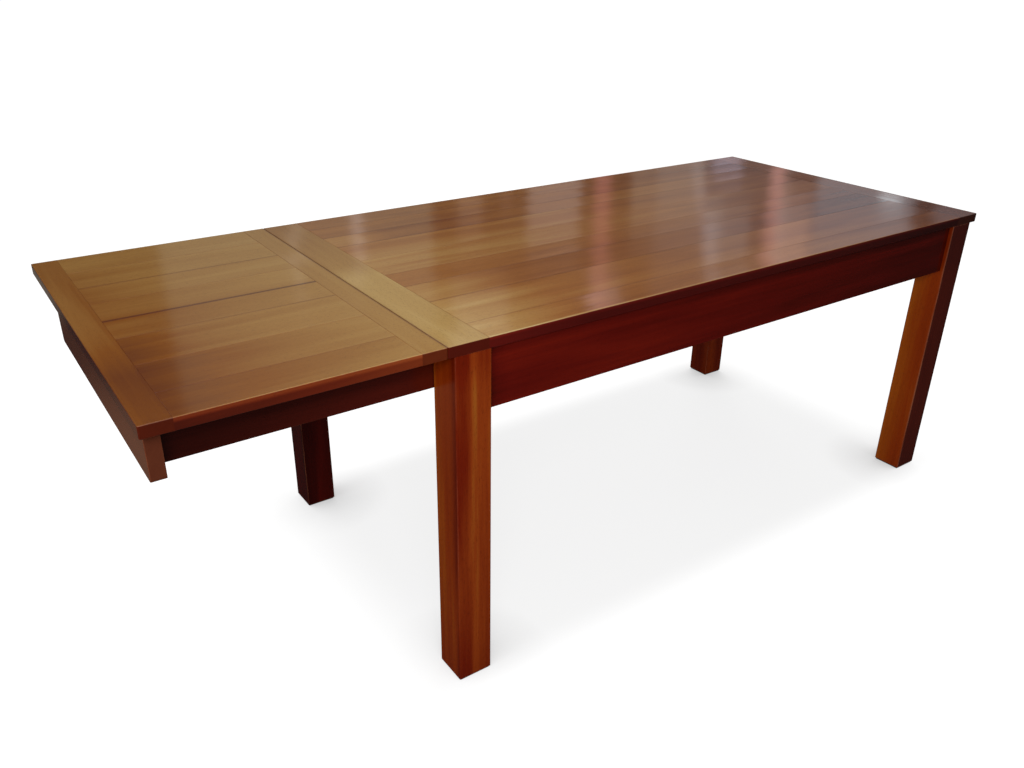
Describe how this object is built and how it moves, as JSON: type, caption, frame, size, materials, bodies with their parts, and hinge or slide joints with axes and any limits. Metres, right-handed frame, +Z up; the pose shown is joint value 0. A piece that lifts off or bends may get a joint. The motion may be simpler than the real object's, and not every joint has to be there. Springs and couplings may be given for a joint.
{
  "type": "draw leaf table",
  "caption": "Rectangular dining table with square legs, aprons and a boarded top; a loose leaf lies level with it on runners that draw out of one end.",
  "frame": {"origin": "on the floor, under the middle of the overall length and width with the leaf in place", "axes": "+X along the table, away from the leaf; +Y across, from the near side to the far side; +Z up"},
  "size_m": [2.144, 0.86, 0.76],
  "materials": {
    "top_wood": "gloss lacquer",
    "frame_wood": "gloss lacquer",
    "inner_wood": "planed, unfinished",
    "screw_steel": "zinc plated",
    "felt": "pressed felt"
  },
  "bodies": {
    "frame": {"apron_far": "frame_wood", "apron_left_end": "frame_wood", "apron_near": "frame_wood", "apron_right_end": "frame_wood", "bearer_inner": "inner_wood", "bearer_outer": "inner_wood", "brace_screws": "screw_steel", "button_screws": "screw_steel", "corner_brace_far_left": "inner_wood", "corner_brace_far_right": "inner_wood", "corner_brace_near_left": "inner_wood", "corner_brace_near_right": "inner_wood", "cross_rail": "inner_wood", "foot_pads": "felt", "guide_far_inner": "inner_wood", "guide_far_outer": "inner_wood", "guide_near_inner": "inner_wood", "guide_near_outer": "inner_wood", "guide_screws": "screw_steel", "leaf_pegs": "inner_wood", "leg_far_left": "frame_wood", "leg_far_right": "frame_wood", "leg_near_left": "frame_wood", "leg_near_right": "frame_wood", "stop_block_far": "inner_wood", "stop_block_near": "inner_wood", "stop_screws": "screw_steel", "top_board_1": "top_wood", "top_board_2": "top_wood", "top_board_3": "top_wood", "top_board_4": "top_wood", "top_board_5": "top_wood", "top_board_6": "top_wood", "top_board_7": "top_wood", "top_board_8": "top_wood", "top_board_9": "top_wood", "top_buttons": "inner_wood", "top_end_board_left": "top_wood", "top_end_board_right": "top_wood"},
    "carriage": {"end_rail": "frame_wood", "runner_far": "frame_wood", "runner_near": "frame_wood", "tie_rail": "frame_wood"},
    "leaf": {"leaf_board_1": "top_wood", "leaf_board_2": "top_wood", "leaf_board_3": "top_wood", "leaf_board_4": "top_wood", "leaf_board_5": "top_wood", "leaf_board_6": "top_wood", "leaf_board_7": "top_wood", "leaf_board_8": "top_wood", "leaf_end_board_inner": "top_wood", "leaf_end_board_outer": "top_wood"}
  },
  "joints": [
    {"name": "carriage_slide", "type": "slide", "parent": "frame", "child": "carriage", "axis": [1, 0, 0], "range_m": [0, 0.485]},
    {"name": "leaf_lift", "type": "slide", "parent": "frame", "child": "leaf", "axis": [0, 0, 1], "range_m": [0, 0.12]}
  ]
}
